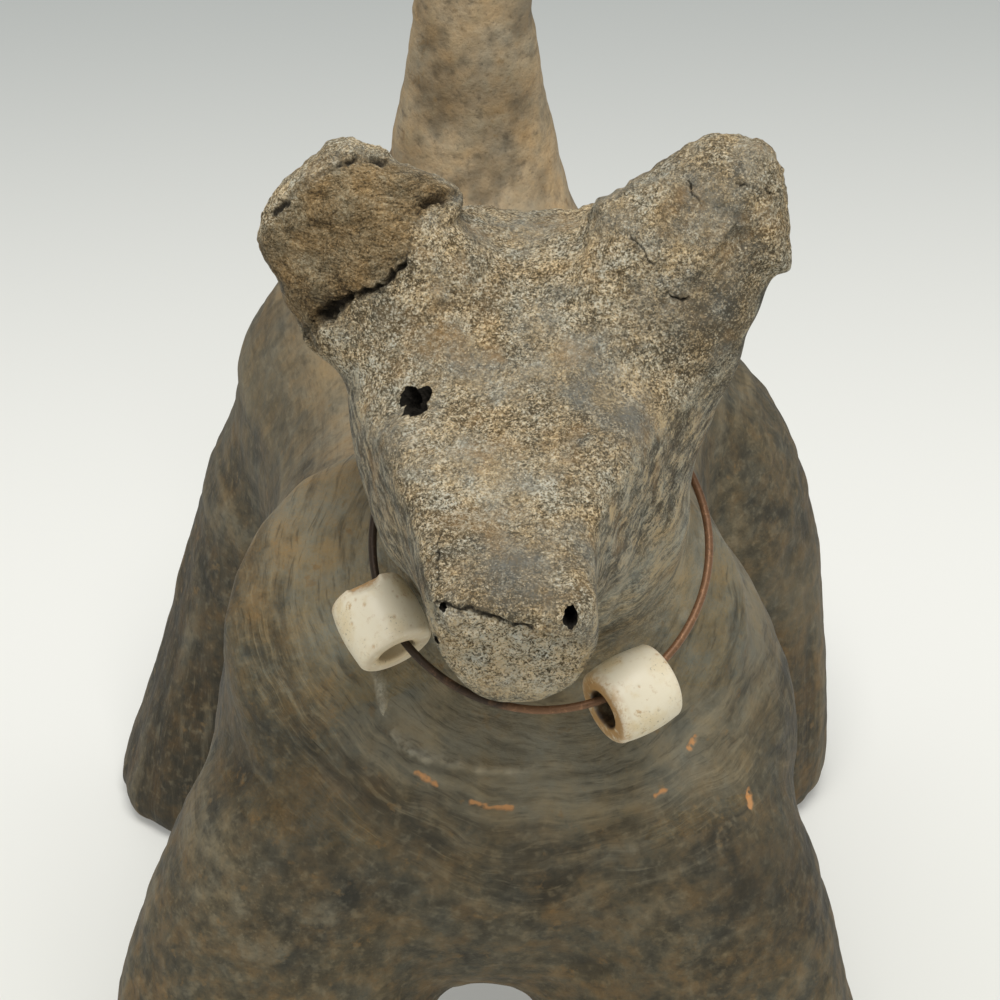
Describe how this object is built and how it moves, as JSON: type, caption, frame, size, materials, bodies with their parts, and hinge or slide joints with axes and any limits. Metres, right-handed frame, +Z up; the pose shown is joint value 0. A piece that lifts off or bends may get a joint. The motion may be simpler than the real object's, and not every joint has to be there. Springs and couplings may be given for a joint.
{
  "type": "dog figurine",
  "caption": "Hand-modelled fired-clay dog on splayed stub legs, with stubby ears and an upright tail, wearing a loose wire collar strung with white beads.",
  "frame": {"origin": "on the ground under the middle of the whole figure's bounding box", "axes": "+Z up, the dog faces -Y, +X is the dog's own left"},
  "size_m": [0.0864, 0.1444, 0.124],
  "materials": {
    "body_clay": "smoke-fired, burnished in bands, dull sheen",
    "head_clay": "sandy, unglazed, matte",
    "ear_clay": "finger-smoothed, matte",
    "copper_wire": "dull copper-brown, worn brighter on top",
    "white_bead": "cream white, stained brown at the bores, small pits"
  },
  "bodies": {
    "figure": {"torso": "body_clay", "front_left_leg": "body_clay", "front_right_leg": "body_clay", "rear_left_leg": "body_clay", "rear_right_leg": "body_clay", "tail": "body_clay", "neck": "body_clay", "head": "head_clay", "left_ear": "ear_clay", "right_ear": "ear_clay"},
    "collar": {"collar_wire": "copper_wire"},
    "left_bead": {"left_bead": "white_bead"},
    "right_bead": {"right_bead": "white_bead"}
  },
  "joints": [
    {"name": "collar_lift", "type": "hinge", "parent": "figure", "child": "collar", "pos_m": [0.00363, -0.02332, 0.09329], "axis": [-1, 0, 0], "range_deg": [0, 15]},
    {"name": "left_bead_slide", "type": "hinge", "parent": "collar", "child": "left_bead", "pos_m": [0.00363, -0.03463, 0.08198], "axis": [0, -0.7071, 0.7071], "range_deg": [-22, 34]},
    {"name": "right_bead_slide", "type": "hinge", "parent": "collar", "child": "right_bead", "pos_m": [0.00363, -0.03463, 0.08198], "axis": [0, -0.7071, 0.7071], "range_deg": [-2, 40]}
  ]
}
